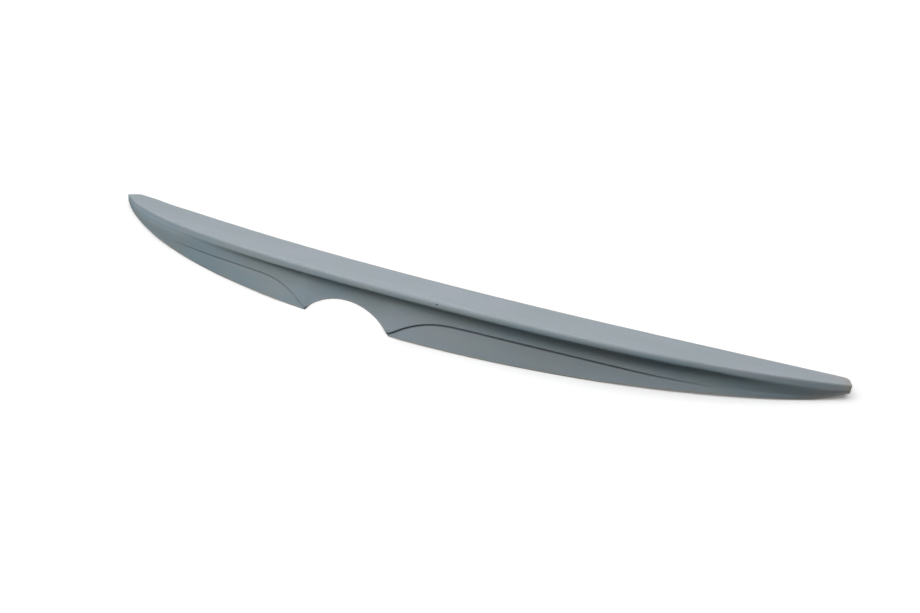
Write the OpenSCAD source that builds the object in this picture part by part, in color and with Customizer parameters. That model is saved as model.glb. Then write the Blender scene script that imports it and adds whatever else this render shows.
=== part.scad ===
// Boot lid lip spoiler: one moulded skin, open underneath.
// X runs along the lid, Y runs forward over the lid, Z is up.
// It lies as it comes to rest on a bench: on its lower edge and its two front corners.

/* [Overall] */
// Length from tip to tip
length = 1200; // [1000:10:1300]
// Thickness of the moulded skin
skin = 3; // [2.5:0.1:3.5]
// How far the skin leans forward until its front corners touch the bench, in degrees
rest_lean = 2.81; // [0:0.01:5]
// Radius that rounds the two blunt ends
end_r = 3; // [2:0.5:5]

/* [Crease] */
// How far the tips sweep forward of the middle of the crease
bow = 121; // [90:1:140]
// Height of the crease in the middle
crease_h = 62.5; // [50:0.5:70]
// Height of the crease at the tips
crease_tip_h = 22.5; // [20:0.5:28]
// Radius that softens the crease
crease_r = 3.2; // [1:0.1:4]

/* [Top face] */
// Width of the top face in the middle
top_w = 113; // [100:0.5:125]
// Width of the top face at the tips
top_tip_w = 30.5; // [26:0.5:36]
// Slope of the top face down to its front edge, in degrees
top_slope = 20.5; // [18:0.5:24]

/* [Nose band] */
// Height of the slanting band behind the crease, in the middle
nose_h = 6.8; // [5:0.1:9]
// Height of the band at the tips
nose_tip_h = 5.5; // [3:0.1:7]
// Slope of the band, in degrees from level
nose_slope = 60; // [45:1:80]
// Radius that softens the foot of the band
nose_r = 3; // [1:0.1:4]

/* [Cove] */
// How far the cove reaches in under the nose
cove_in = 17; // [6:0.5:20]
// Depth of the cove under the nose at the tips
cove_tip_in = 1.5; // [1:0.5:6]
// How far it drops while it does so
cove_drop = 2.5; // [1:0.5:8]
// Height at which the cove has run out into the straight skirt
foot_h = 20; // [10:0.5:24]
// How softly it does so: the length over which it keeps the slope of the skirt
cove_flare = 6; // [3:0.5:16]

/* [Skirt] */
// How far behind the crease the lower edge stands in the middle
skirt_out = 16; // [8:0.5:30]
// How far ahead of the middle of the crease it ends at the tips
skirt_tip = 117; // [110:0.5:130]
// How far the outer thirds of the lower edge lift off the bench
edge_lift = 5; // [0:0.1:8]
// How far the very tips lift
tip_lift = 14; // [8:0.1:15]
// Slope of the skirt, in degrees from level
skirt_slope = 62; // [58:1:72]
// Height of the step line where it is highest
line_h = 29.5; // [24:0.5:32]
// How far the leaf shaped panel below the step line is set in
step = 2; // [0.8:0.1:2.6]
// Depth of the fine groove at the foot of the step, and its height
groove = 1.2; // [0.4:0.1:1.5]
groove_h = 1.6; // [0.8:0.1:2.5]

/* [Notch] */
// Width of the round notch at the lower edge
notch_w = 138; // [120:1:150]
// Height of the notch
notch_h = 27; // [22:0.5:28]

/* [Hidden] */
primer = [0.56, 0.61, 0.66];
half = length / 2;

// Shares of the half length where the notch ends, the line is highest and the line ends
notch_u = notch_w / length;
peak_u = 0.27;
fade_from_u = 0.6;
fade_to_u = 0.8;
line_end_u = 0.97;

// Height of the line at the notch corner, and of line and foot above the edge at the tips
line_corner_h = 2.2;
line_tip_h = 1.6;
foot_tip_h = 1.2;
step_min = 0.15;

// Mesh counts: spans along the half length, and spans round the section
notch_spans = 8;
rise_spans = 13;
long_spans = 30;
end_spans = 3;
round_spans = 3;
top_spans = 3;
bend_spans = 4;
cove_spans = 12;
skirt_spans = 3;
inner_top_spans = 3;
inner_cove_spans = 6;
inner_skirt_spans = 3;
notch_split = 0.97;

// Shared curves along the half length, u is 0 in the middle and 1 at the tips
function sweep(u, a) = a * pow(u, 2) + (1 - a) * pow(u, 4.2);
function lower_sweep(u) = 0.86 * pow(u, 2) + 0.14 * pow(u, 7);
function between(a, b, t) = a + (b - a) * t;
function clip(t) = min(1, max(0, t));
function smooth(t) = clip(t) * clip(t) * (3 - 2 * clip(t));
function lift(u) =
    edge_lift * smooth((u - 0.45) / 0.35) + (tip_lift - edge_lift) * pow(clip((u - 0.92) / 0.08), 2);

// Guide points of the section at u, each as [y, z]
function crease(u) = [bow * sweep(u, 0.66), between(crease_h, crease_tip_h, sweep(u, 0.8))];
function top_width(u) = between(top_w, top_tip_w, pow(u, 4.6));
function front(u) = crease(u) + top_width(u) * [cos(top_slope), -sin(top_slope)];
function nose_size(u) = between(1, nose_tip_h / nose_h, u * u);
function nose(u) = crease(u) + nose_size(u) * nose_h * [-1 / tan(nose_slope), -1];
function lower(u) = [between(-skirt_out, skirt_tip, lower_sweep(u)), lift(u)];

// Step line: it rises from the notch corner, then falls slowly towards the tip
function line_rise(u) = 1 - pow(1 - clip((u - notch_u) / (peak_u - notch_u)), 2.4);
function line_fall(u) = 1 - pow(clip((u - peak_u) / (line_end_u - peak_u)), 1.6);
function ridge_z(u) = max(lift(u) + line_tip_h, line_h * line_fall(u));
function line_z(u) = between(line_corner_h, ridge_z(u), line_rise(u));
function step_at(u) = between(step, step_min, smooth((u - fade_from_u) / (fade_to_u - fade_from_u)));

// Round notch: an arc through both corners, as seen from behind
notch_rise = notch_h - line_corner_h;
notch_r = (pow(notch_w / 2, 2) + pow(notch_rise, 2)) / (2 * notch_rise);
function notch_z(u) = notch_h - notch_r + sqrt(pow(notch_r, 2) - pow(u * half, 2));

// Outer skirt line at height z, and the point where the cove runs out into it
function skirt_y(u, z) =
    lower(u)[0] - step_at(u) * corner_fade(u) + (z - lift(u)) / tan(skirt_slope);
function corner_fade(u) = smooth((u - notch_u + 0.02) / 0.02);
function foot_z(u) = lift(u) + between(foot_h, foot_tip_h, u * u);
function foot(u) = [skirt_y(u, foot_z(u)), foot_z(u)];

// Cove and skirt under the nose: w runs 0 to 1 down the cove and 1 to 2 down the skirt
function cove_fade(u) = between(1, cove_tip_in / cove_in, smooth((u - 0.55) / 0.4));
function cove_start(u) = [cove_in * cove_fade(u), -cove_drop];
function bezier(a, b, c, d, t) =
    pow(1 - t, 3) * a + 3 * pow(1 - t, 2) * t * b + 3 * (1 - t) * t * t * c + pow(t, 3) * d;
function cove(u, w) = bezier(
    nose(u),
    nose(u) + cove_start(u),
    foot(u) + cove_fade(u) * cove_flare * [cos(skirt_slope), sin(skirt_slope)],
    foot(u),
    w
);
function skirt(u, w) = let (z = between(foot_z(u), lift(u), w - 1)) [skirt_y(u, z), z];
function under(u, w) = w < 1 ? cove(u, w) : skirt(u, w);
function cove_w(u, z, a = 0, b = 1, turns = 12) =
    let (m = (a + b) / 2)
    turns == 0 ? m
    : cove(u, m)[1] > z ? cove_w(u, z, m, b, turns - 1)
    : cove_w(u, z, a, m, turns - 1);
function w_at(u, z) =
    z < foot_z(u) ? 2 - (z - lift(u)) / (foot_z(u) - lift(u)) : cove_w(u, z);
function in_notch(u) = u < notch_u - 0.0001;
function skin_end(u) = w_at(u, in_notch(u) ? notch_z(u) : line_z(u));

// A corner b rounded between its neighbours a and c, as points of a quadratic curve
function unit(v) = v / norm(v);
function turn(a, b, c) = acos(unit(b - a) * unit(c - b));
function rounded(a, b, c, r, spans) =
    let (
        reach = r * tan(turn(a, b, c) / 2),
        from = b + reach * unit(a - b),
        to = b + reach * unit(c - b)
    )
    [
        for (k = [0:spans]) let (t = k / spans)
            pow(1 - t, 2) * from + 2 * t * (1 - t) * b + t * t * to
    ];

// Where the rounded foot of the band has run out into the cove
band_run = [-1 / tan(nose_slope), -1];
function nose_reach(u) = nose_r * tan(turn([0, 0], band_run, band_run + cove_start(u)) / 2);
function w_start(u) = nose_size(u) * nose_reach(u) / (3 * norm(cove_start(u)));

// Outer section from the front edge over the crease and down to the step line or the notch
function outer(u) =
    let (
        w_from = w_start(u),
        w_to = skin_end(u),
        cove_points = [for (k = [1:cove_spans]) under(u, between(w_from, w_to, k / cove_spans))],
        bend = rounded(front(u), crease(u), nose(u), nose_size(u) * crease_r, bend_spans),
        foot_r = nose_size(u) * nose_r,
        foot = rounded(crease(u), nose(u), cove(u, w_from), foot_r, bend_spans - 1)
    )
    concat(
        [for (k = [0:top_spans - 1]) between(front(u), bend[0], k / top_spans)],
        bend,
        foot,
        cove_points
    );

// Set-in panel from the groove at the foot of the step down to the lower edge
function panel_top(u) = under(u, skin_end(u)) + [step_at(u), 0];
function groove_end(u) = groove_h / max(2 * groove_h, panel_top(u)[1] - lift(u));
function panel(u) = concat(
    [panel_top(u) + [groove * step_at(u) / step, 0]],
    [
        for (k = [0:skirt_spans - 1]) let (t = between(groove_end(u), 1, k / (skirt_spans - 1)))
            between(panel_top(u), lower(u), t)
    ]
);

// Corner b of the outline a, b, c moved in by the skin, so both sides keep their thickness
function left_of(v) = [v[1], -v[0]];
function inward(a, b) = left_of(unit(a - b));
function mitred(a, b, c, depth) =
    let (m = inward(a, b), n = inward(b, c)) b + depth * (m + n) / (1 + m * n);

// Wall line that the inner side follows: t runs 0 to 1 down the cove and 1 to 2 below the step
function wall(u, t) =
    in_notch(u) ? under(u, skin_end(u) * (t < 1 ? notch_split * t : between(notch_split, 1, t - 1)))
    : t < 1 ? under(u, skin_end(u) * t)
    : between(panel_top(u), lower(u), t - 1);
function wall_run(u, t) =
    t < 1 ? wall(u, min(t + 0.02, 0.999)) - wall(u, t - 0.02)
    : wall(u, min(t + 0.02, 2)) - wall(u, min(t, 1.98));
function inner_wall(u, t) =
    let (
        run = unit(wall_run(u, t)),
        square_shift = skin * left_of(-run),
        level_shift = [skin / max(0.5, -run[1]), 0],
        rise = wall(u, t)[1] - wall(u, 2)[1],
        level_share = max(pow(t / 2, 4), 1 - rise / (2 * skin))
    )
    wall(u, t) + between(square_shift, level_shift, level_share);

// Inner section from the front edge to the lower edge or the notch
function inner(u) =
    let (
        depth = skin * nose_size(u),
        corner = mitred(front(u), crease(u), nose(u), depth),
        foot = mitred(crease(u), nose(u), nose(u) + cove_start(u), depth),
        edge = front(u) + skin * inward(front(u), crease(u))
    )
    concat(
        [for (k = [0:inner_top_spans - 1]) between(edge, corner, k / inner_top_spans)],
        [corner, foot],
        [for (k = [1:inner_cove_spans]) inner_wall(u, k / inner_cove_spans)],
        [for (k = [1:inner_skirt_spans]) inner_wall(u, 1 + k / inner_skirt_spans)]
    );

// Stations along X for the right half, then mirrored
function steps(a, b, spans) = [for (k = [1:spans]) between(a, b, k / spans)];
end_u = 1 - end_r / half;
right_u = concat(
    steps(0, notch_u, notch_spans),
    steps(notch_u, peak_u, rise_spans),
    steps(peak_u, 0.94, long_spans),
    steps(0.94, end_u, end_spans)
);
round_angles = steps(0, 90, round_spans);
body_u = concat([for (k = [len(right_u) - 1:-1:0]) -right_u[k]], [0], right_u);
station_count = len(body_u) + 2 * round_spans;

// Rounded ends: each ring moves out by a sine and shrinks towards the middle of the section
end_middle = (front(1) + crease(1) + lower(1)) / 3;
end_reach = 12;
function ring_angle(i) =
    i < round_spans ? round_angles[round_spans - 1 - i]
    : i >= station_count - round_spans ? round_angles[i - station_count + round_spans]
    : 0;
function station_u(i) = body_u[min(len(body_u) - 1, max(0, i - round_spans))];
function station_x(i) =
    half * station_u(i) + sign(station_u(i)) * end_r * sin(ring_angle(i));
function shrink(p, a) = between(end_middle, p, 1 - end_r * (1 - cos(a)) / end_reach);
function ring(i, points) = [
    for (p = points) let (q = leaned(shrink(p, ring_angle(i))))
        [station_x(i), q[0] - mid_y, q[1] - base_z]
];

// The section is drawn with the lower edge level, then leaned forward as it rests
function leaned(p) = [
    p[0] * cos(rest_lean) + p[1] * sin(rest_lean),
    p[1] * cos(rest_lean) - p[0] * sin(rest_lean)
];

// The origin lies on the bench, under the middle of the whole outline
front_y = max([for (u = right_u) leaned(front(u))[0]]);
rear_y = min([for (p = concat(outer(notch_u), panel(notch_u))) leaned(p)[0]]);
mid_y = (front_y + rear_y) / 2;
base_z = min([for (u = right_u) for (p = inner(u)) leaned(p)[1]]);

// Point lists, one ring after the other
last = station_count - 1;
left_corner = round_spans + len(right_u) - notch_spans;
right_corner = last - left_corner;
stations = [for (i = [0:last]) i];
panel_stations = [for (i = stations) if (i <= left_corner || i >= right_corner) i];
outer_rings = [for (i = stations) ring(i, outer(abs(station_u(i))))];
panel_rings = [for (i = panel_stations) ring(i, panel(abs(station_u(i))))];
inner_rings = [for (i = stations) ring(i, inner(abs(station_u(i))))];
outer_n = len(outer_rings[0]);
panel_n = skirt_spans + 1;
inner_n = len(inner_rings[0]);
first_wall = round_spans;
last_wall = last - round_spans;

panel_base = outer_n * station_count;
inner_base = panel_base + panel_n * len(panel_stations);
hub_base = inner_base + inner_n * station_count;

// Indices of the points
function o(i, j) = i * outer_n + j;
function panel_row(i) = i <= left_corner ? i : i - right_corner + left_corner + 1;
function p(i, j) = panel_base + panel_row(i) * panel_n + j;
function n(i, j) = inner_base + i * inner_n + j;
outer_end = outer_n - 1;
inner_last = inner_n - 1;

// Two triangles for a patch after station i, whose corners run clockwise as seen from outside
// The diagonal changes sides in the middle, so both halves are true mirror images
function patch(i, a, b, c, d) = i < last / 2 ? [[a, b, d], [b, c, d]] : [[a, b, c], [a, c, d]];
function outward_fan(hub, loop) = [for (k = [0:len(loop) - 2]) [hub, loop[k], loop[k + 1]]];
function inward_fan(hub, loop) = [for (k = [0:len(loop) - 2]) [hub, loop[k + 1], loop[k]]];

function is_panel(i) = i < left_corner || i >= right_corner;
function is_plug(i) = i < first_wall || i >= last_wall;
outer_faces = [
    for (i = [0:last - 1], j = [0:outer_end - 1])
        each patch(i, o(i, j), o(i + 1, j), o(i + 1, j + 1), o(i, j + 1))
];
inner_faces = [
    for (i = [first_wall:last_wall - 1], j = [0:inner_last - 1])
        each patch(i, n(i, j), n(i, j + 1), n(i + 1, j + 1), n(i + 1, j))
];
front_edge_faces = [
    for (i = [0:last - 1]) each patch(i, o(i + 1, 0), o(i, 0), n(i, 0), n(i + 1, 0))
];
step_faces = [
    for (i = [0:last - 1]) if (is_panel(i))
        each patch(i, o(i, outer_end), o(i + 1, outer_end), p(i + 1, 0), p(i, 0))
];
panel_faces = [
    for (i = [0:last - 1]) if (is_panel(i))
        for (j = [0:skirt_spans - 1]) each patch(i, p(i, j), p(i + 1, j), p(i + 1, j + 1), p(i, j + 1))
];
lower_edge_faces = [
    for (i = [0:last - 1]) if (is_panel(i))
        each patch(i, p(i, skirt_spans), p(i + 1, skirt_spans), n(i + 1, inner_last), n(i, inner_last))
];
notch_edge_faces = [
    for (i = [0:last - 1]) if (!is_panel(i))
        each patch(i, o(i, outer_end), o(i + 1, outer_end), n(i + 1, inner_last), n(i, inner_last))
];
plug_faces = [
    for (i = [0:last - 1]) if (is_plug(i))
        each patch(i, n(i + 1, 0), n(i, 0), n(i, inner_last), n(i + 1, inner_last))
];

// Small end faces of the panel at the notch corners
function corner_loop(i) = concat([o(i, outer_end)], [for (j = [0:skirt_spans]) p(i, j)]);
right_corner_faces = outward_fan(n(right_corner, inner_last), corner_loop(right_corner));
left_corner_faces = inward_fan(n(left_corner, inner_last), corner_loop(left_corner));

// Blunt ends outside, and the end walls of the hollow inside
function end_loop(i) = concat(
    [for (j = [0:outer_end]) o(i, j)],
    [for (j = [0:skirt_spans]) p(i, j)],
    [n(i, inner_last), n(i, 0), o(i, 0)]
);
function wall_loop(i) = concat([for (j = [0:inner_last]) n(i, j)], [n(i, 0)]);
function average(points) = [for (k = [0:2]) let (v = [for (q = points) q[k]]) (min(v) + max(v)) / 2];
hubs = [
    average(outer_rings[0]),
    average(outer_rings[last]),
    average(inner_rings[first_wall]),
    average(inner_rings[last_wall])
];
end_faces = concat(
    outward_fan(hub_base, end_loop(0)),
    inward_fan(hub_base + 1, end_loop(last)),
    inward_fan(hub_base + 2, wall_loop(first_wall)),
    outward_fan(hub_base + 3, wall_loop(last_wall))
);

module spoiler_skin() {
    color(primer)
        polyhedron(
            points = concat(
                [for (r = outer_rings) each r],
                [for (r = panel_rings) each r],
                [for (i = stations) each inner_rings[i]],
                hubs
            ),
            faces = concat(
                outer_faces,
                inner_faces,
                front_edge_faces,
                step_faces,
                panel_faces,
                lower_edge_faces,
                notch_edge_faces,
                plug_faces,
                right_corner_faces,
                left_corner_faces,
                end_faces
            ),
            convexity = 6
        );
}

spoiler_skin();
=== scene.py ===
import bisect
import math

import bmesh
import bpy
from mathutils import Matrix, Vector, kdtree, noise
from mathutils.bvhtree import BVHTree


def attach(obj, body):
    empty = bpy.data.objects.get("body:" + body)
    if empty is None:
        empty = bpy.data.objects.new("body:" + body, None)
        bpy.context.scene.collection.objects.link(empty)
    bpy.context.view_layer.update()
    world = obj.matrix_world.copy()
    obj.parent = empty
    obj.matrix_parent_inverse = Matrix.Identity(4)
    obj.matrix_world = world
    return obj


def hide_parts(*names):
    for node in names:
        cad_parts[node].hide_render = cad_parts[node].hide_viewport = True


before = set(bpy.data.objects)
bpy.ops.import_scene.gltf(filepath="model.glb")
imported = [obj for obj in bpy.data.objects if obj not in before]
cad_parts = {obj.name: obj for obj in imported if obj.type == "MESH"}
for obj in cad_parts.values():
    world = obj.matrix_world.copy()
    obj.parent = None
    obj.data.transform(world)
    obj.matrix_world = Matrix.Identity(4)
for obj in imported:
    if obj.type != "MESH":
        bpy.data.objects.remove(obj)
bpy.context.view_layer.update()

bl_info = {
    "name": "Boot Lid Lip Spoiler",
    "version": (1, 0, 0),
    "blender": (4, 5, 0),
    "location": "3D View > Sidebar > Spoiler",
    "description": "Builds the primed lip spoiler, its finishes and a plain studio round it",
    "category": "Object",
}

MM = 0.001
SKIN_NODE = "spoiler_skin"
SKIN_PIECE = "spoiler_skin_primed"
TRIM_GAP = "trim_gap"
LINE_GAP = "line_gap"
TOP_SHARE = "top_share"
CREASE_SHADE_SHARE = "rub_share"
PIT_SHARE = "pit_share"
OUTSIDE, RIM, INSIDE = "outside", "rim", "inside"
PRIMER_INDEX, LAMINATE_INDEX = 0, 1

# How the CAD node's mesh is read. It is made of rings of vertices, each ring at one x.
MERGE_DISTANCE = 0.01 * MM
QUAD_FACE_ANGLE = math.radians(35)
QUAD_SHAPE_ANGLE = math.radians(50)
RING_GRID = 0.5 * MM
RING_VERTS = 30
LARGE_REGION = 5000 * MM * MM
RAY_START = 0.3 * MM
STEP_ANGLE = math.radians(40)
SHADE_ANGLE = math.radians(50)

# The band goes back by this much for each metre down, and the top face falls by this much
# for each metre forwards. A vertex in front of the crease counts as below it if it lies down
# by at least WALL_RATIO of that distance.
BAND_RUN = 0.5
TOP_FALL = 0.32
WALL_RATIO = 0.8

# Zones of the hand finish, each from its start to its end. In metres from the middle:
WALL_OUT_START = (0.10, 0.35)
WALL_OUT_END = (0.42, 0.54)
PULL_END_RIGHT = (0.1, 0.4)
PULL_END_TIPS = (0.5, 0.6)
STRETCH_CHANGE = (-0.2, 0.2)
TIP_CURL = (0.52, 0.60)
CORNER_TRIM = (0.56, 0.60)
# Below the crease:
WALL_OUT_DEPTH = (5 * MM, 14 * MM)
PULL_DEPTH = (6 * MM, 20 * MM)
FLAT_DEPTH = (1.5 * MM, 4 * MM)
CREASE_DEPTH = 0.5 * MM
STRETCH_START = 1.5 * MM
STRETCH_REACH = 20 * MM
# In front of the crease:
WALL_OUT_AHEAD = (2 * MM, 10 * MM)
PULL_AHEAD = 12 * MM

# Blemishes in the primer: where on the part (x and y in mm), width and depth in mm.
PITS = (
    (-8.2, -59.5, 2.6, 0.6),
    (134.7, -61.2, 3.0, 0.7),
)
PIT_MESH_REACH = 2.5
PIT_CUTS = 5

# The trimmed edge wavers within this distance, and clear of the floor.
WAVER_REACH = 6 * MM
WAVER_CLEARANCE = 0.5 * MM
WAVER_BROAD = 55.0
WAVER_FINE = 210.0
WAVER_MEAN = 0.6

# Masks on the skin, by how far its normal looks up and how far it looks back. The first parts the
# top colours from the rear ones, which carry a painted shade tint.
TOP_UP = (0.25, 0.75)
# The crease mask picks the normals that look up and back, where the lamps light the rounded crease
# brightest; the primer is darkened there as painted shade.
CREASE_SHADE_UP = 0.5
CREASE_SHADE_START = (-0.25, 0.1)
CREASE_SHADE_END = (0.5, 0.8)

# Places along the part, in metres from the middle, where the primer changes.
WARM_START = (0.655, 0.72)
TIP_START = (0.592, 0.595)
# The last two say where the painted shade in the panel line fades towards the tips, and how it is
# weaker on the left.
LINE_SHADE_END = (0.3, 0.41)
LINE_SHADE_SIDES = (-0.1, 0.1)

# The painted shade of the panel line lies this far below the lower edge of the line's step, and is
# this wide.
LINE_SHADE_DROP = Vector((0.0, 0.0, -0.7 * MM))
LINE_SHADE_WIDTH = (0.7 * MM, 1.4 * MM)

# Ellipses on the floor: centre and size in metres, and the shares of the size between which
# they fade. The shadow is kept inside the first, and the notch stays white inside the other.
SHADOW_AREA = ((0, 0), (0.75, 0.3), 0.9, 1.6)
NOTCH_AREA = ((-0.018, -0.06), (0.1, 0.048), 0.5, 1.15)

# How bright the lit floor is from the left end of the part to its right end.
FLOOR_ENDS = (-0.6, 0.6)
FLOOR_LEFT, FLOOR_RIGHT = 0.96, 1.06

# Soft lamps: name, the setting with its power, place, aim and size in metres.
LAMPS = (
    ("top_lamp", "top_power", (0.0, 0.25, 1.7), (0.0, 0.05, 0.0), (3.0, 2.0)),
    ("left_lamp", "left_power", (-1.6, -0.9, 1.0), (-0.2, 0.0, 0.0), (1.0, 1.0)),
    ("rear_lamp", "rear_power", (0.0, -0.7, 1.7), (0.0, 0.0, 0.0), (2.6, 0.8)),
)


class SpoilerSkinSettings(bpy.types.PropertyGroup):
    sharp_angle: bpy.props.FloatProperty(
        name="Sharp edge angle",
        description="Edges that turn more than this part the outside, the rim and the inside",
        default=math.radians(25),
        subtype="ANGLE",
    )
    trim_radius: bpy.props.FloatProperty(
        name="Trimmed edge radius",
        description="How far the sandpaper has rounded the trimmed edges",
        default=0.5 * MM,
        subtype="DISTANCE",
    )
    line_radius: bpy.props.FloatProperty(
        name="Panel line radius",
        description="Rounding of the step round the set-in panels",
        default=0.15 * MM,
        subtype="DISTANCE",
    )
    trim_waver: bpy.props.FloatProperty(
        name="Trim waver",
        description="How far the hand-trimmed edge wanders from a true curve",
        default=0.25 * MM,
        subtype="DISTANCE",
    )
    left_stretch: bpy.props.FloatProperty(
        name="Band stretch, left",
        description="How much further down than in the CAD part the left half's band runs",
        default=4.0 * MM,
        subtype="DISTANCE",
    )
    right_stretch: bpy.props.FloatProperty(
        name="Band stretch, right",
        description="How much further down than in the CAD part the right half's band runs",
        default=1.7 * MM,
        subtype="DISTANCE",
    )
    left_from: bpy.props.FloatProperty(
        name="Left flat from",
        description="Distance left of the middle where the cove starts to flatten out",
        default=-60 * MM,
        subtype="DISTANCE",
    )
    left_to: bpy.props.FloatProperty(
        name="Left flat to",
        description="Distance left of the middle where the cove is flat",
        default=430 * MM,
        subtype="DISTANCE",
    )
    right_from: bpy.props.FloatProperty(
        name="Right flat from",
        description="Distance right of the middle where the cove starts to flatten out",
        default=430 * MM,
        subtype="DISTANCE",
    )
    right_to: bpy.props.FloatProperty(
        name="Right flat to",
        description="Distance right of the middle where the cove is as flat as it gets",
        default=575 * MM,
        subtype="DISTANCE",
    )
    right_flat: bpy.props.FloatProperty(
        name="Right flatness",
        description="How far the cove is flattened out at the right tip",
        default=0.7,
        min=0.0,
        max=1.0,
        subtype="FACTOR",
    )
    band_depth: bpy.props.FloatProperty(
        name="Band depth",
        description="How far below the crease the band ends where the cove is flattened out",
        default=8.5 * MM,
        subtype="DISTANCE",
    )
    left_tip_lift: bpy.props.FloatProperty(
        name="Left tip lift",
        description="How far the left tip curls up",
        default=3.5 * MM,
        subtype="DISTANCE",
    )
    left_corner_trim: bpy.props.FloatProperty(
        name="Left corner trim",
        description="How much narrower the left tip ends than in the CAD part",
        default=6.0 * MM,
        subtype="DISTANCE",
    )
    left_corner_lift: bpy.props.FloatProperty(
        name="Left corner lift",
        description="How far the left tip's front corner stands above its place in the CAD part",
        default=3.0 * MM,
        subtype="DISTANCE",
    )
    crease_pull: bpy.props.FloatProperty(
        name="Crease pull",
        description="How far the left half's crease is rubbed back over the top face",
        default=1.5 * MM,
        subtype="DISTANCE",
    )
    skirt_push: bpy.props.FloatProperty(
        name="Skirt push",
        description="How far the left half's wall stands out from its place in the CAD part",
        default=2.0 * MM,
        subtype="DISTANCE",
    )
    crease_round: bpy.props.FloatProperty(
        name="Crease rounding",
        description="How far behind the crease the flattened wall begins",
        default=1.3 * MM,
        subtype="DISTANCE",
    )
    smooth_levels: bpy.props.IntProperty(
        name="Smoothing levels",
        description="Rounds of subdivision of the skin",
        default=1,
        min=0,
        max=2,
    )


class SpoilerFinishSettings(bpy.types.PropertyGroup):
    top_blue: bpy.props.FloatVectorProperty(
        name="Top, blue",
        description="Colour of the primer on the top face where it is thick",
        default=(0.352, 0.402, 0.432),
        subtype="COLOR",
        size=3,
    )
    top_lilac: bpy.props.FloatVectorProperty(
        name="Top, haze",
        description="Colour of the dry haze that sanding leaves on the top face",
        default=(0.378, 0.405, 0.455),
        subtype="COLOR",
        size=3,
    )
    # The rear colours are cooler and a little darker than the top's: besides their own tone they
    # carry a painted shade tint on the faces below the crease.
    shaded_rear_teal: bpy.props.FloatVectorProperty(
        name="Rear, teal",
        description="Colour of the primer below the crease where it is thick",
        default=(0.300, 0.396, 0.450),
        subtype="COLOR",
        size=3,
    )
    shaded_rear_green: bpy.props.FloatVectorProperty(
        name="Rear, green",
        description="Colour of the primer below the crease where it is sanded thin",
        default=(0.338, 0.400, 0.414),
        subtype="COLOR",
        size=3,
    )
    warm: bpy.props.FloatVectorProperty(
        name="Warm end",
        description="Colour of the thin primer at the right end",
        default=(0.420, 0.415, 0.425),
        subtype="COLOR",
        size=3,
    )
    laminate: bpy.props.FloatVectorProperty(
        name="Laminate",
        description="Colour of the bare laminate",
        default=(0.400, 0.370, 0.300),
        subtype="COLOR",
        size=3,
    )
    strand: bpy.props.FloatVectorProperty(
        name="Strands",
        description="Colour of the glass strands in the laminate",
        default=(0.55, 0.53, 0.46),
        subtype="COLOR",
        size=3,
    )
    # Near-black colour painted into the panel line and the pits as shade.
    painted_shade: bpy.props.FloatVectorProperty(
        name="Dirt",
        description="Colour of the sanding dirt in the panel line and the pits",
        default=(0.030, 0.045, 0.060),
        subtype="COLOR",
        size=3,
    )
    primer_roughness: bpy.props.FloatProperty(
        name="Primer roughness",
        description="Roughness of the dry primer",
        default=0.62,
        min=0.0,
        max=1.0,
        subtype="FACTOR",
    )
    streaks: bpy.props.FloatProperty(
        name="Streaks",
        description="Strength of the long soft streaks of hand sanding",
        default=0.2,
        min=0.0,
        max=1.0,
        subtype="FACTOR",
    )
    scratches: bpy.props.FloatProperty(
        name="Scratches",
        description="Strength of the fine sanding scratches",
        default=0.2,
        min=0.0,
        max=1.0,
        subtype="FACTOR",
    )
    # Painted shade: the primer is darkened to this share where the crease catches the lamps'
    # highlight.
    crease_shade_tone: bpy.props.FloatProperty(
        name="Crease tone",
        description="How bright the rubbed crease is next to the faces beside it",
        default=0.82,
        min=0.0,
        max=1.0,
        subtype="FACTOR",
    )
    wear_share: bpy.props.FloatProperty(
        name="Edge wear",
        description="How far the laminate shows through at the trimmed edges",
        default=0.75,
        min=0.0,
        max=1.0,
        subtype="FACTOR",
    )
    wear_width: bpy.props.FloatProperty(
        name="Edge wear width",
        description="How far in from a trimmed edge the primer is sanded through",
        default=2.2 * MM,
        subtype="DISTANCE",
    )


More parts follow.
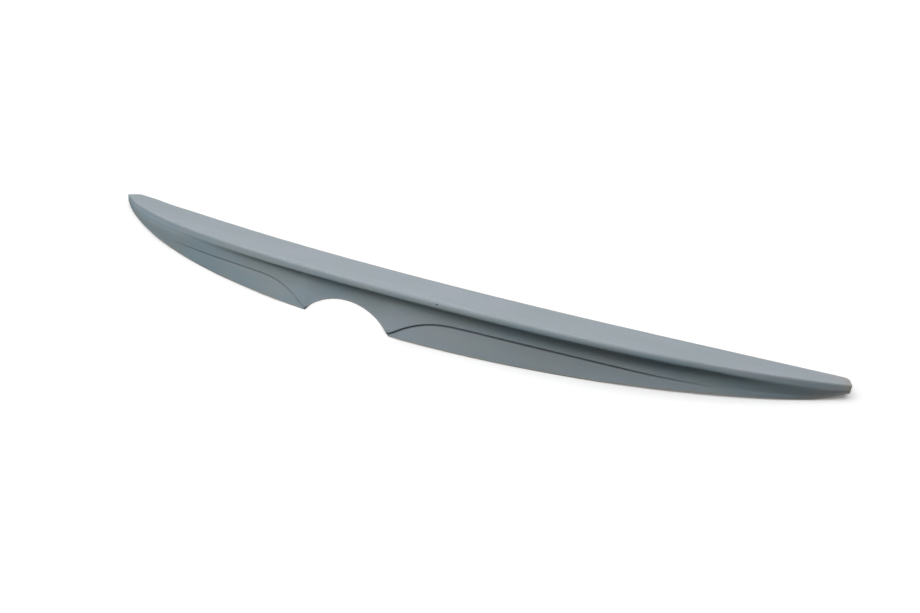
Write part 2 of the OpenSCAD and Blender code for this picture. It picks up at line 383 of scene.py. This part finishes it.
class SpoilerStudioSettings(bpy.types.PropertyGroup):
    floor_size: bpy.props.FloatProperty(
        name="Floor size",
        description="Side of the plain floor",
        default=40.0,
        subtype="DISTANCE",
    )
    floor_bounce: bpy.props.FloatProperty(
        name="Floor bounce",
        description="Share of the light that the floor sends back to the part",
        default=0.13,
        min=0.0,
        max=1.0,
        subtype="FACTOR",
    )
    floor_glow: bpy.props.FloatProperty(
        name="Floor glow",
        description="How white the floor stays in the deepest shadow",
        default=0.2,
        min=0.0,
        max=1.0,
        subtype="FACTOR",
    )
    floor_white: bpy.props.FloatProperty(
        name="Floor white",
        description="How strongly the lit floor is seen on top of its glow",
        default=0.78,
        min=0.0,
        max=1.0,
        subtype="FACTOR",
    )
    sky: bpy.props.FloatProperty(
        name="Sky",
        description="Strength of the even light from all round",
        default=0.01,
        min=0.0,
    )
    top_power: bpy.props.FloatProperty(
        name="Top lamp",
        description="Power of the large soft lamp overhead",
        default=41.5,
        min=0.0,
        subtype="POWER",
        unit="POWER",
    )
    left_power: bpy.props.FloatProperty(
        name="Left lamp",
        description="Power of the soft lamp beyond the left end",
        default=12.0,
        min=0.0,
        subtype="POWER",
        unit="POWER",
    )
    rear_power: bpy.props.FloatProperty(
        name="Rear lamp",
        description="Power of the soft lamp above and behind the camera",
        default=9.4,
        min=0.0,
        subtype="POWER",
        unit="POWER",
    )
    camera_place: bpy.props.FloatVectorProperty(
        name="Camera place",
        description="Where the camera stands",
        default=(0.464995, -0.604368, 0.486735),
        precision=6,
        subtype="TRANSLATION",
        size=3,
    )
    camera_target: bpy.props.FloatVectorProperty(
        name="Camera target",
        description="The point that the camera looks at",
        default=(0.096825, 0.067875, -0.035741),
        precision=6,
        subtype="TRANSLATION",
        size=3,
    )
    lens: bpy.props.FloatProperty(
        name="Lens",
        description="Focal length of the camera in millimetres",
        default=24.196,
        min=1.0,
    )
    roll: bpy.props.FloatProperty(
        name="Roll",
        description="How far the camera is turned about its own line of sight",
        default=math.radians(-1.531),
        subtype="ANGLE",
    )


# Mesh


def fill_regions(skin, limit):
    """Splits the skin's faces into regions that are parted by sharp edges."""
    region_of = {}
    regions = []
    for seed in skin.faces:
        if seed in region_of:
            continue
        region_of[seed] = len(regions)
        region = [seed]
        for face in region:
            for edge in face.edges:
                if edge.calc_face_angle(0.0) > limit:
                    continue
                for other in edge.link_faces:
                    if other not in region_of:
                        region_of[other] = len(regions)
                        region.append(other)
        regions.append(region)
    return regions, region_of


def sort_regions(skin, limit):
    """Names each face as the outside, the cut rim or the inside of the skin."""
    regions, region_of = fill_regions(skin, limit)
    tree = BVHTree.FromBMesh(skin)
    kinds = {}
    for number, region in enumerate(regions):
        if sum(face.calc_area() for face in region) < LARGE_REGION:
            continue
        free = 0
        for face in region:
            start = face.calc_center_median() + face.normal * RAY_START
            hits = [tree.ray_cast(start, Vector(way))[0] for way in ((0, -1, 0), (0, 0, 1))]
            free += None in hits
        kinds[number] = OUTSIDE if free > len(region) / 2 else INSIDE
    large = dict(kinds)
    for number, region in enumerate(regions):
        if number in large:
            continue
        around = {region_of[f] for face in region for edge in face.edges for f in edge.link_faces}
        touches_inside = any(large.get(other) == INSIDE for other in around)
        kinds[number] = RIM if touches_inside else OUTSIDE
    return {face: kinds[number] for face, number in region_of.items()}


def merged_node():
    """A merged copy of the CAD node's mesh, in quads."""
    skin = bmesh.new()
    skin.from_mesh(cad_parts[SKIN_NODE].data)
    bmesh.ops.remove_doubles(skin, verts=skin.verts, dist=MERGE_DISTANCE)
    bmesh.ops.join_triangles(
        skin,
        faces=skin.faces,
        angle_face_threshold=QUAD_FACE_ANGLE,
        angle_shape_threshold=QUAD_SHAPE_ANGLE,
    )
    return skin


def section_guides(skin):
    """For each ring of the skin, in order of x: its x, crease, lower edge and front edge."""
    rings = {}
    for vert in skin.verts:
        rings.setdefault(round(vert.co.x / RING_GRID), []).append(vert.co)
    guides = []
    for ring in rings.values():
        if len(ring) >= RING_VERTS:
            crease = max(ring, key=lambda co: co.z)
            edge = min(ring, key=lambda co: co.y)
            front = max(ring, key=lambda co: co.y)
            guides.append((crease.x, crease.copy(), edge.copy(), front.copy()))
    return sorted(guides, key=lambda guide: guide[0])


def guide_at(guides, x):
    """The crease, the lower edge and the front edge at x, between the two nearest rings."""
    after = min(max(1, bisect.bisect([guide[0] for guide in guides], x)), len(guides) - 1)
    low, high = guides[after - 1], guides[after]
    share = (x - low[0]) / (high[0] - low[0])
    return [low[place].lerp(high[place], share) for place in (1, 2, 3)]


def smooth_step(value, zone):
    """0 up to the start of the zone, 1 from its end on, and a soft rise between."""
    start, end = zone
    share = min(1.0, max(0.0, (value - start) / (end - start)))
    return share * share * (3.0 - 2.0 * share)


def fade(value, zone):
    """1 up to the start of the zone, 0 from its end on, and a soft fall between."""
    return 1.0 - smooth_step(value, zone)


def push_skirt(skin, guides, settings):
    """Moves the wall below the crease out on the left half, clear of the notch and the tip."""
    for vert in skin.verts:
        crease = guide_at(guides, vert.co.x)[0]
        push = smooth_step(-vert.co.x, WALL_OUT_START) * fade(-vert.co.x, WALL_OUT_END)
        push *= smooth_step(crease.z - vert.co.z, WALL_OUT_DEPTH)
        push *= fade(vert.co.y - crease.y, WALL_OUT_AHEAD)
        vert.co.y -= settings.skirt_push * push


def stretch_band(vert, depth, height, settings):
    """Moves a vertex of the band down along the band's own slope."""
    right = smooth_step(vert.co.x, STRETCH_CHANGE)
    stretch = settings.left_stretch * (1.0 - right) + settings.right_stretch * right
    reach = min(STRETCH_REACH, 0.8 * height)
    stretch *= smooth_step(depth, (STRETCH_START, 0.35 * reach)) * fade(depth, (0.4 * reach, reach))
    vert.co.z -= stretch
    vert.co.y -= stretch * BAND_RUN


def flatten_cove(vert, crease, edge, settings):
    """Draws a vertex of the cove out to a wall that runs straight from the band to the edge."""
    if vert.co.x < 0:
        flat = smooth_step(-vert.co.x, (settings.left_from, settings.left_to))
    else:
        flat = smooth_step(vert.co.x, (settings.right_from, settings.right_to))
        flat *= settings.right_flat
    depth = crease.z - vert.co.z
    height = crease.z - edge.z
    band = min(settings.band_depth, 0.6 * height)
    straight = crease.y - settings.crease_round - BAND_RUN * min(depth, band)
    straight += (edge.y - straight) * max(0.0, depth - band) / (height - band)
    vert.co.y += (straight - vert.co.y) * flat * smooth_step(depth, FLAT_DEPTH)


def pull_crease(outside, guides, settings):
    """Draws the crease forwards over the top face, most of all on the left half."""
    for vert in outside:
        crease = guide_at(guides, vert.co.x)[0]
        depth = crease.z - vert.co.z
        if vert.co.y - crease.y > PULL_AHEAD:
            continue
        pull = settings.crease_pull * fade(vert.co.x, PULL_END_RIGHT)
        pull *= fade(abs(vert.co.x), PULL_END_TIPS) * fade(depth, PULL_DEPTH)
        vert.co.y += pull
        vert.co.z -= TOP_FALL * pull


def lift_left_tip(skin, guides, settings):
    """Curls the end of the left tip up, with its lower edge kept where it is."""
    for vert in skin.verts:
        curl = smooth_step(-vert.co.x, TIP_CURL)
        if curl > 0.0:
            crease, edge, _ = guide_at(guides, vert.co.x)
            below = min(1.0, max(0.0, (crease.z - vert.co.z) / (crease.z - edge.z)))
            if vert.co.y > crease.y:
                below = 0.0
            vert.co.z += settings.left_tip_lift * curl * (1.0 - below)


def trim_left_corner(skin, guides, settings):
    """Narrows the last of the left tip and lifts its front corner."""
    for vert in skin.verts:
        share = smooth_step(-vert.co.x, CORNER_TRIM)
        if share > 0.0:
            crease, _, front = guide_at(guides, vert.co.x)
            share *= min(1.0, max(0.0, (vert.co.y - crease.y) / (front.y - crease.y)))
            vert.co.y -= settings.left_corner_trim * share
            vert.co.z += settings.left_corner_lift * share


def shape_section(skin, kinds, settings):
    """Gives the skin its hand finish, which is not the same on both halves."""
    push_skirt(skin, section_guides(skin), settings)
    guides = section_guides(skin)
    outside = [
        vert
        for vert in skin.verts
        if any(kinds.get(face) == OUTSIDE for face in vert.link_faces)
    ]
    for vert in outside:
        crease, edge, _ = guide_at(guides, vert.co.x)
        depth = crease.z - vert.co.z
        if depth >= max(CREASE_DEPTH, WALL_RATIO * (vert.co.y - crease.y)):
            stretch_band(vert, depth, crease.z - edge.z, settings)
            flatten_cove(vert, crease, edge, settings)
    pull_crease(outside, guides, settings)
    lift_left_tip(skin, guides, settings)
    trim_left_corner(skin, guides, settings)
    skin.normal_update()


def soften_edges(skin, settings):
    """Marks each face's kind, then rounds the trimmed edges and the panel line."""
    kinds = sort_regions(skin, settings.sharp_angle)
    shape_section(skin, kinds, settings)
    trimmed, stepped = [], []
    for edge in skin.edges:
        sides = {kinds[face] for face in edge.link_faces}
        if RIM in sides and len(sides) > 1:
            trimmed.append(edge)
        elif sides == {OUTSIDE} and edge.calc_face_angle(0.0) > STEP_ANGLE:
            stepped.append(edge)
    for face, kind in kinds.items():
        face.material_index = PRIMER_INDEX if kind == OUTSIDE else LAMINATE_INDEX
    # These points mark where the panel line's painted shade goes.
    line = points_along(stepped)
    for edges, radius in ((trimmed, settings.trim_radius), (stepped, settings.line_radius)):
        bmesh.ops.bevel(
            skin,
            geom=[edge for edge in edges if edge.is_valid],
            offset=radius,
            affect="EDGES",
            segments=2,
            profile=0.5,
            material=-1,
            clamp_overlap=True,
        )
    return line


def points_along(edges):
    """Points a millimetre apart on the lower edges of the panel line's step."""
    points = []
    for edge in edges:
        start, end = (vert.co for vert in edge.verts)
        normals = [face.normal for face in edge.link_faces]
        if min(normal.z for normal in normals) > -0.5:
            continue
        count = max(1, round((end - start).length / MM))
        points += [start.lerp(end, step / count) + LINE_SHADE_DROP for step in range(count + 1)]
    return points


def gap_tree(points):
    """A tree that finds the nearest of the points."""
    tree = kdtree.KDTree(len(points))
    for number, point in enumerate(points):
        tree.insert(point, number)
    tree.balance()
    return tree


def smoothed(name, mesh, levels):
    """The mesh after subdivision, as a plain mesh."""
    carrier = bpy.data.objects.new(name, mesh)
    bpy.context.scene.collection.objects.link(carrier)
    modifier = carrier.modifiers.new("smooth", "SUBSURF")
    modifier.levels = levels
    modifier.render_levels = levels
    bpy.context.view_layer.update()
    evaluated = carrier.evaluated_get(bpy.context.evaluated_depsgraph_get())
    result = bpy.data.meshes.new_from_object(evaluated)
    bpy.data.objects.remove(carrier)
    return result


def trim_points(skin):
    """The vertices where the primed outside meets the bare rim."""
    points = []
    for vert in skin.verts:
        slots = {face.material_index for face in vert.link_faces}
        if len(slots) > 1:
            points.append(vert.co.copy())
    return points


def press_pits(skin):
    """Presses the pits into the primer, in finer mesh."""
    # The pit share is also the mask for the painted shade in the pits.
    pit_layer = skin.verts.layers.float.new(PIT_SHARE)
    for x, y, width, depth in PITS:
        tree = BVHTree.FromBMesh(skin)
        centre = tree.ray_cast(Vector((x * MM, y * MM, 1.0)), Vector((0, 0, -1)))[0]
        if centre is None:
            continue
        reach = width * MM
        limit = reach * PIT_MESH_REACH
        near = [f for f in skin.faces if (f.calc_center_median() - centre).length < limit]
        edges = dict.fromkeys(edge for face in near for edge in face.edges)
        bmesh.ops.subdivide_edges(skin, edges=list(edges), cuts=PIT_CUTS, use_grid_fill=True)
        skin.normal_update()
        for vert in skin.verts:
            away = (vert.co - centre).length / (reach / 2)
            if away < 1.0:
                vert[pit_layer] = 1.0 - away * away
                vert.co -= vert.normal * depth * MM * (1.0 - away * away) ** 2


def mark_surface(skin, line_tree):
    """Writes the values that the materials read: distances to edges and line, and masks."""
    trim_tree = gap_tree(trim_points(skin))
    layers = skin.verts.layers.float
    gap_layer, line_layer = layers.new(TRIM_GAP), layers.new(LINE_GAP)
    top_layer, crease_shade_layer = layers.new(TOP_SHARE), layers.new(CREASE_SHADE_SHARE)
    for vert in skin.verts:
        vert[gap_layer] = trim_tree.find(vert.co)[2]
        vert[line_layer] = line_tree.find(vert.co)[2]
        vert[top_layer] = smooth_step(vert.normal.z, TOP_UP)
        # The crease mask marks where shade is painted over the crease's highlight.
        if vert.normal.z > CREASE_SHADE_UP:
            back = -vert.normal.y
            vert[crease_shade_layer] = smooth_step(back, CREASE_SHADE_START) * fade(back, CREASE_SHADE_END)


def waver_trim(skin, waver):
    """Lets the trimmed edges wander from a true curve."""
    gap_layer = skin.verts.layers.float[TRIM_GAP]
    for vert in skin.verts:
        near = max(0.0, 1.0 - vert[gap_layer] / WAVER_REACH)
        if near > 0.0 and vert.co.z > WAVER_CLEARANCE:
            wander = noise.noise(vert.co * WAVER_BROAD) + 0.5 * noise.noise(vert.co * WAVER_FINE)
            vert.co.y += waver * near * (wander - WAVER_MEAN)


def build_skin_mesh(settings):
    skin = merged_node()
    line_tree = gap_tree(soften_edges(skin, settings))
    mesh = bpy.data.meshes.new(SKIN_PIECE)
    skin.to_mesh(mesh)
    skin.free()
    mesh = smoothed(SKIN_PIECE, mesh, settings.smooth_levels)
    mesh.name = SKIN_PIECE

    skin = bmesh.new()
    skin.from_mesh(mesh)
    press_pits(skin)
    mark_surface(skin, line_tree)
    waver_trim(skin, settings.trim_waver)
    skin.normal_update()
    skin.to_mesh(mesh)
    skin.free()
    mesh.shade_smooth()
    mesh.set_sharp_from_angle(angle=SHADE_ANGLE)
    return mesh


# Materials


class Nodes:
    """Adds and links the nodes of one tree."""

    def __init__(self, tree):
        self.tree = tree
        self.column = 0

    def add(self, kind, values=None, **settings):
        node = self.tree.nodes.new(kind)
        node.location = (self.column, 0)
        self.column += 180
        for key, value in settings.items():
            setattr(node, key, value)
        for socket, value in (values or {}).items():
            if isinstance(value, bpy.types.NodeSocket):
                self.tree.links.new(value, node.inputs[socket])
            else:
                node.inputs[socket].default_value = value
        return node

    def attribute(self, name):
        return self.add("ShaderNodeAttribute", attribute_name=name).outputs["Fac"]

    def math(self, operation, first, second=0.5):
        return self.add("ShaderNodeMath", {0: first, 1: second}, operation=operation).outputs[0]

    def vector(self, operation, first, second):
        values = {0: first, 1: second}
        return self.add("ShaderNodeVectorMath", values, operation=operation).outputs[0]

    def spread(self, value, low, high, to_low=0.0, to_high=1.0):
        values = {"Value": value, 1: low, 2: high, 3: to_low, 4: to_high}
        return self.add("ShaderNodeMapRange", values).outputs[0]

    def noise(self, vector, scale, detail=3.0, roughness=0.5):
        values = {"Vector": vector, "Scale": scale, "Detail": detail, "Roughness": roughness}
        return self.add("ShaderNodeTexNoise", values).outputs["Fac"]

    def mapped(self, vector, scale=(1, 1, 1), rotation=(0, 0, 0)):
        values = {"Vector": vector, "Scale": scale, "Rotation": rotation}
        return self.add("ShaderNodeMapping", values).outputs[0]

    def mixed(self, factor, first, second):
        values = {"Factor": factor, 6: first, 7: second}
        return self.add("ShaderNodeMix", values, data_type="RGBA").outputs[2]

    def group(self, tree, values):
        return self.add("ShaderNodeGroup", values, node_tree=tree).outputs


def rgba(colour):
    return (*colour, 1.0)


def new_group(name, inputs, outputs):
    """A shader node group with the given sockets, and its helper, inputs and outputs."""
    group = bpy.data.node_groups.new(name, "ShaderNodeTree")
    for socket, kind, value in inputs:
        made = group.interface.new_socket(socket, in_out="INPUT", socket_type=kind)
        if value is not None:
            made.default_value = value
    for socket, kind in outputs:
        group.interface.new_socket(socket, in_out="OUTPUT", socket_type=kind)
    nodes = Nodes(group)
    entry = nodes.add("NodeGroupInput")
    leave = nodes.add("NodeGroupOutput")
    return group, nodes, entry.outputs, leave.inputs


def sanding_group():
    """Hand sanding: long soft streaks along the part and fine scratches."""
    group, nodes, given, out = new_group(
        "Hand sanding",
        (
            ("Vector", "NodeSocketVector", None),
            ("Streaks", "NodeSocketFloat", 1.0),
            ("Scratches", "NodeSocketFloat", 1.0),
        ),
        (("Tone", "NodeSocketFloat"), ("Height", "NodeSocketFloat")),
    )
    long_way = nodes.mapped(given["Vector"], scale=(6, 60, 60))
    streak = nodes.noise(long_way, 1.0, 4.0, 0.55)
    fine_way = nodes.mapped(given["Vector"], scale=(120, 1400, 1400), rotation=(0, 0, 0.15))
    scratch = nodes.noise(fine_way, 1.0, 2.0, 0.6)
    streak_tone = nodes.math("MULTIPLY", nodes.math("SUBTRACT", streak, 0.5), given["Streaks"])
    scratch_tone = nodes.math("MULTIPLY", nodes.math("SUBTRACT", scratch, 0.5), given["Scratches"])
    tone = nodes.math("ADD", streak_tone, nodes.math("MULTIPLY", scratch_tone, 0.35))
    nodes.tree.links.new(tone, out["Tone"])
    nodes.tree.links.new(scratch, out["Height"])
    return group


def trim_wear_group():
    """Mask of the places near a trimmed edge where the primer is sanded through."""
    group, nodes, given, out = new_group(
        "Trim wear",
        (
            ("Vector", "NodeSocketVector", None),
            ("Gap", "NodeSocketFloat", 1.0),
            ("Width", "NodeSocketFloat", 0.002),
        ),
        (("Mask", "NodeSocketFloat"),),
    )
    ragged = nodes.noise(given["Vector"], 90.0, 4.0, 0.6)
    reach = nodes.math("MULTIPLY", given["Width"], nodes.spread(ragged, 0.3, 0.7, 0.35, 1.3))
    share = nodes.math("DIVIDE", given["Gap"], reach)
    mask = nodes.spread(share, 0.35, 1.0, 1.0, 0.0)
    nodes.tree.links.new(mask, out["Mask"])
    return group


def strand_group():
    """Chopped glass strands that lie at all angles in the laminate."""
    group, nodes, given, out = new_group(
        "Chopped strands",
        (("Vector", "NodeSocketVector", None), ("Size", "NodeSocketFloat", 1.0)),
        (("Strands", "NodeSocketFloat"),),
    )
    sized = nodes.vector("MULTIPLY", given["Vector"], given["Size"])
    total = None
    for angle in (0.2, 1.25, 2.3):
        turned = nodes.mapped(sized, scale=(45, 700, 700), rotation=(0, 0, angle))
        line = nodes.noise(turned, 1.0, 1.0, 0.5)
        strand = nodes.spread(line, 0.55, 0.7)
        total = strand if total is None else nodes.math("MAXIMUM", total, strand)
    nodes.tree.links.new(total, out["Strands"])
    return group


def new_material(name):
    material = bpy.data.materials.new(name)
    material.use_nodes = True
    material.node_tree.nodes.clear()
    nodes = Nodes(material.node_tree)
    place = nodes.add("ShaderNodeTexCoord").outputs["Object"]
    return material, nodes, place


def close_material(nodes, values):
    shader = nodes.add("ShaderNodeBsdfPrincipled", values)
    nodes.add("ShaderNodeOutputMaterial", {"Surface": shader.outputs[0]})


def primer_material(settings, groups):
    material, nodes, place = new_material("primer_sanded")
    broad = nodes.noise(nodes.mapped(place, scale=(9, 22, 22)), 1.0, 3.0, 0.55)
    cloud = nodes.noise(place, 17.0, 3.0, 0.6)
    along = nodes.add("ShaderNodeSeparateXYZ", {0: place}).outputs["X"]

    top_tone = nodes.mixed(
        nodes.spread(cloud, 0.45, 0.7), rgba(settings.top_blue), rgba(settings.top_lilac)
    )
    shaded_rear_tone = nodes.mixed(
        nodes.spread(broad, 0.42, 0.6), rgba(settings.shaded_rear_teal), rgba(settings.shaded_rear_green)
    )
    # The top colours go where the normal looks up, the rear colours elsewhere: the rear's cooler
    # tint is painted shade.
    tone = nodes.mixed(nodes.attribute(TOP_SHARE), shaded_rear_tone, top_tone)

    # The right end is thin and warm, and its very tip shows some laminate.
    ragged = nodes.math("ADD", along, nodes.math("MULTIPLY", broad, 0.2))
    tone = nodes.mixed(nodes.spread(ragged, *WARM_START), tone, rgba(settings.warm))
    tip = nodes.spread(along, *TIP_START, 0.0, 0.45)
    tone = nodes.mixed(tip, tone, rgba(settings.laminate))

    # Sanding marks, painted shade that dulls the lamps' highlight on the crease, and the worn trim.
    sanding = nodes.group(
        groups["sanding"],
        {"Vector": place, "Streaks": settings.streaks, "Scratches": settings.scratches},
    )
    # Painted shade that tones down the lamps' highlight on the crease.
    crease_shade = nodes.spread(nodes.attribute(CREASE_SHADE_SHARE), 0.0, 1.0, 1.0, settings.crease_shade_tone)
    tone = nodes.vector("MULTIPLY", tone, nodes.math("ADD", sanding["Tone"], crease_shade))
    gap = nodes.attribute(TRIM_GAP)
    worn = nodes.group(
        groups["wear"], {"Vector": place, "Gap": gap, "Width": settings.wear_width}
    )
    worn_share = nodes.math("MULTIPLY", worn["Mask"], settings.wear_share)
    tone = nodes.mixed(worn_share, tone, rgba(settings.laminate))

    # Painted shade in the panel line, fading towards the tips and weaker on the left, and painted
    # shade in the pits.
    faded = nodes.spread(nodes.math("ABSOLUTE", along), *LINE_SHADE_END, 1.0, 0.0)
    faded = nodes.math("MULTIPLY", faded, nodes.spread(along, *LINE_SHADE_SIDES, 0.5, 0.85))
    line = nodes.spread(nodes.attribute(LINE_GAP), *LINE_SHADE_WIDTH, 1.0, 0.0)
    tone = nodes.mixed(nodes.math("MULTIPLY", line, faded), tone, rgba(settings.painted_shade))
    # The pits are darkened towards their centres as painted shade.
    pit = nodes.spread(nodes.attribute(PIT_SHARE), 0.1, 0.7, 0.0, 0.8)
    tone = nodes.mixed(pit, tone, rgba(settings.painted_shade))

    rough = nodes.spread(cloud, 0.3, 0.7, settings.primer_roughness - 0.06, 0.7)
    bump = nodes.add(
        "ShaderNodeBump",
        {"Height": sanding["Height"], "Strength": 0.25, "Distance": 0.0001},
    )
    close_material(
        nodes,
        {
            "Base Color": tone,
            "Roughness": rough,
            "Specular IOR Level": 0.2,
            "Normal": bump.outputs[0],
        },
    )
    return material


def laminate_material(settings, groups):
    material, nodes, place = new_material("laminate_bare")
    strands = nodes.group(groups["strands"], {"Vector": place, "Size": 1.0})
    cloud = nodes.noise(place, 35.0, 4.0, 0.6)
    dark = tuple(value * 0.62 for value in settings.laminate)
    tone = nodes.mixed(nodes.spread(cloud, 0.3, 0.75), rgba(dark), rgba(settings.laminate))
    shown = nodes.math("MULTIPLY", strands["Strands"], 0.45)
    tone = nodes.mixed(shown, tone, rgba(settings.strand))
    bump = nodes.add(
        "ShaderNodeBump",
        {"Height": strands["Strands"], "Strength": 0.6, "Distance": 0.0004},
    )
    close_material(
        nodes,
        {
            "Base Color": tone,
            "Roughness": nodes.spread(cloud, 0.3, 0.7, 0.38, 0.6),
            "Specular IOR Level": 0.4,
            "Normal": bump.outputs[0],
        },
    )
    return material


# Operators


class SPOILER_OT_build_skin(bpy.types.Operator):
    """Build the moulded skin with its rounded edges, wavering trim and pits"""

    bl_idname = "spoiler.build_skin"
    bl_label = "Build skin"

    def execute(self, context):
        mesh = build_skin_mesh(context.scene.spoiler_skin)
        piece = bpy.data.objects.new(SKIN_PIECE, mesh)
        context.scene.collection.objects.link(piece)
        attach(piece, "root")
        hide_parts(SKIN_NODE)
        return {"FINISHED"}


class SPOILER_OT_finish_skin(bpy.types.Operator):
    """Give the skin its sanded primer outside and bare laminate inside"""

    bl_idname = "spoiler.finish_skin"
    bl_label = "Finish skin"

    def execute(self, context):
        settings = context.scene.spoiler_finish
        groups = {
            "sanding": sanding_group(),
            "wear": trim_wear_group(),
            "strands": strand_group(),
        }
        mesh = bpy.data.objects[SKIN_PIECE].data
        mesh.materials.clear()
        mesh.materials.append(primer_material(settings, groups))
        mesh.materials.append(laminate_material(settings, groups))
        return {"FINISHED"}


# Studio


def aimed(place, target):
    """The turn that points a lamp or camera at place towards target."""
    return (Vector(target) - Vector(place)).to_track_quat("-Z", "Y")


def add_lamp(name, place, target, size, power):
    light = bpy.data.lights.new(name, "AREA")
    light.shape = "RECTANGLE"
    light.size, light.size_y = size
    light.energy = power
    lamp = bpy.data.objects.new(name, light)
    lamp.location = place
    lamp.rotation_euler = aimed(place, target).to_euler()
    bpy.context.scene.collection.objects.link(lamp)


def seen_rays(nodes):
    """1 for the rays that show a surface in the picture, 0 for those that only light."""
    path = nodes.add("ShaderNodeLightPath").outputs
    return nodes.math("MAXIMUM", path["Is Camera Ray"], path["Is Transmission Ray"])


def distance_mask(nodes, place, centre, size, inner, outer):
    """1 inside an ellipse on the floor, fading to 0 between two shares of its size."""
    offset = nodes.mapped(place, scale=(1 / size[0], 1 / size[1], 1))
    centre = (-centre[0] / size[0], -centre[1] / size[1], 0)
    moved = nodes.vector("ADD", offset, centre)
    length = nodes.add("ShaderNodeVectorMath", {0: moved}, operation="LENGTH")
    return nodes.spread(length.outputs["Value"], inner, outer, 1.0, 0.0)


def floor_material(settings):
    """White floor: it keeps the shadow near the part, and the far floor and notch stay white."""
    material, nodes, place = new_material("studio_floor")
    seen = seen_rays(nodes)
    near = distance_mask(nodes, place, *SHADOW_AREA)
    notch = distance_mask(nodes, place, *NOTCH_AREA)
    far = nodes.math("SUBTRACT", 1.0, near)
    white = nodes.math("MAXIMUM", far, notch)
    glow = nodes.math("MULTIPLY", nodes.spread(white, 0, 1, settings.floor_glow, 1.0), seen)
    along = nodes.add("ShaderNodeSeparateXYZ", {0: place}).outputs["X"]
    left, right = settings.floor_white * FLOOR_LEFT, settings.floor_white * FLOOR_RIGHT
    lit = nodes.spread(along, *FLOOR_ENDS, left, right)
    tone = nodes.spread(seen, 0, 1, settings.floor_bounce, lit)
    matt = nodes.add("ShaderNodeBsdfDiffuse", {"Color": tone})
    light = nodes.add("ShaderNodeEmission", {"Color": (1, 1, 1, 1), "Strength": glow})
    both = nodes.add("ShaderNodeAddShader", {0: matt.outputs[0], 1: light.outputs[0]})
    nodes.add("ShaderNodeOutputMaterial", {"Surface": both.outputs[0]})
    return material


def set_world(settings):
    world = bpy.data.worlds.new("studio_sky")
    world.use_nodes = True
    world.node_tree.nodes.clear()
    nodes = Nodes(world.node_tree)
    strength = nodes.spread(seen_rays(nodes), 0.0, 1.0, settings.sky, 1.0)
    sky = nodes.add("ShaderNodeBackground", {"Color": (1, 1, 1, 1), "Strength": strength})
    nodes.add("ShaderNodeOutputWorld", {"Surface": sky.outputs[0]})
    bpy.context.scene.world = world


class SPOILER_OT_set_studio(bpy.types.Operator):
    """Lay the plain floor, hang the soft lamps and place the camera"""

    bl_idname = "spoiler.set_studio"
    bl_label = "Set studio"

    def execute(self, context):
        settings = context.scene.spoiler_studio
        scene = context.scene
        sheet = bmesh.new()
        bmesh.ops.create_grid(sheet, x_segments=1, y_segments=1, size=settings.floor_size / 2)
        bmesh.ops.translate(sheet, verts=sheet.verts, vec=(0, 0, -0.2 * MM))
        mesh = bpy.data.meshes.new("studio_floor")
        sheet.to_mesh(mesh)
        sheet.free()
        mesh.materials.append(floor_material(settings))
        floor = bpy.data.objects.new("studio_floor", mesh)
        scene.collection.objects.link(floor)

        set_world(settings)
        for name, power, place, target, size in LAMPS:
            add_lamp(name, place, target, size, getattr(settings, power))

        camera_data = bpy.data.cameras.new("photo_camera")
        camera_data.sensor_width = 36.0
        camera_data.lens = settings.lens
        camera_data.clip_start = 0.01
        camera_data.clip_end = 100.0
        camera = bpy.data.objects.new("photo_camera", camera_data)
        camera.location = settings.camera_place
        aim = aimed(settings.camera_place, settings.camera_target).to_matrix()
        camera.rotation_euler = (aim @ Matrix.Rotation(settings.roll, 3, "Z")).to_euler()
        scene.collection.objects.link(camera)
        scene.camera = camera
        scene.view_settings.view_transform = "Standard"
        return {"FINISHED"}


class VIEW3D_PT_spoiler(bpy.types.Panel):
    """The steps that build the spoiler and their settings"""

    bl_label = "Lip Spoiler"
    bl_idname = "VIEW3D_PT_spoiler"
    bl_space_type = "VIEW_3D"
    bl_region_type = "UI"
    bl_category = "Spoiler"

    def draw(self, context):
        steps = (
            (SPOILER_OT_build_skin, context.scene.spoiler_skin),
            (SPOILER_OT_finish_skin, context.scene.spoiler_finish),
            (SPOILER_OT_set_studio, context.scene.spoiler_studio),
        )
        for operator, settings in steps:
            box = self.layout.box()
            box.operator(operator.bl_idname)
            for name in settings.__annotations__:
                box.prop(settings, name)


CLASSES = (
    SpoilerSkinSettings,
    SpoilerFinishSettings,
    SpoilerStudioSettings,
    SPOILER_OT_build_skin,
    SPOILER_OT_finish_skin,
    SPOILER_OT_set_studio,
    VIEW3D_PT_spoiler,
)


def register():
    for item in CLASSES:
        bpy.utils.register_class(item)
    scene = bpy.types.Scene
    scene.spoiler_skin = bpy.props.PointerProperty(type=SpoilerSkinSettings)
    scene.spoiler_finish = bpy.props.PointerProperty(type=SpoilerFinishSettings)
    scene.spoiler_studio = bpy.props.PointerProperty(type=SpoilerStudioSettings)


def unregister():
    del bpy.types.Scene.spoiler_studio
    del bpy.types.Scene.spoiler_finish
    del bpy.types.Scene.spoiler_skin
    for item in reversed(CLASSES):
        bpy.utils.unregister_class(item)


def main():
    register()
    bpy.ops.spoiler.build_skin()
    bpy.ops.spoiler.finish_skin()
    bpy.ops.spoiler.set_studio()


if __name__ == "__main__":
    main()
